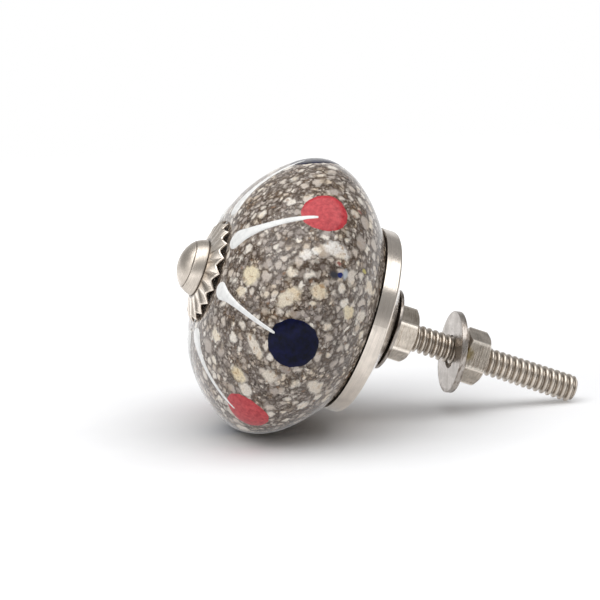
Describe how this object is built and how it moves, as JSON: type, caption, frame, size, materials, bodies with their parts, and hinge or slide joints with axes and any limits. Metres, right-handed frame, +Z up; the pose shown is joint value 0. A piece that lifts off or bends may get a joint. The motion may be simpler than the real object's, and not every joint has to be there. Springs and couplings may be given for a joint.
{
  "type": "cabinet knob",
  "caption": "Round glazed ceramic cabinet knob with a fluted metal collar, domed screw head, metal back cup and a long threaded screw with loose washer and nut.",
  "frame": {"origin": "centre of the retaining nut's back face, the face that bears on the furniture, on the knob's axis", "axes": "+Y along the screw towards its free end, -Y to the domed head, +Z up, +X to the side"},
  "size_m": [0.0441, 0.0671, 0.0441],
  "materials": {
    "nickel": "warm nickel plate, softly brushed",
    "speckled_glaze": "glossy clear glaze over grey-brown and cream granite speckle",
    "white_enamel": "glossy raised white enamel",
    "blue_enamel": "glossy navy enamel",
    "red_enamel": "glossy red enamel"
  },
  "bodies": {
    "knob": {"head_screw": "nickel", "fluted_collar": "nickel", "ceramic_body": "speckled_glaze", "white_drops": "white_enamel", "blue_dots": "blue_enamel", "red_dots": "red_enamel", "base_cup": "nickel", "retaining_washer": "nickel", "retaining_nut": "nickel"},
    "loose_washer": {"mounting_washer": "nickel"},
    "loose_nut": {"mounting_nut": "nickel"}
  },
  "joints": [
    {"name": "nut_travel", "type": "slide", "parent": "knob", "child": "loose_washer", "axis": [0, 1, 0], "range_m": [-0.00529, 0.01481]},
    {"name": "nut_turn", "type": "hinge", "parent": "loose_washer", "child": "loose_nut", "pos_m": [0, 0.0104, 0], "axis": [0, 1, 0], "range_deg": [-1805, 5045]}
  ],
  "couplings": [
    {"joint": "nut_turn", "follows": "nut_travel", "rad_per_m": 5938.7}
  ]
}
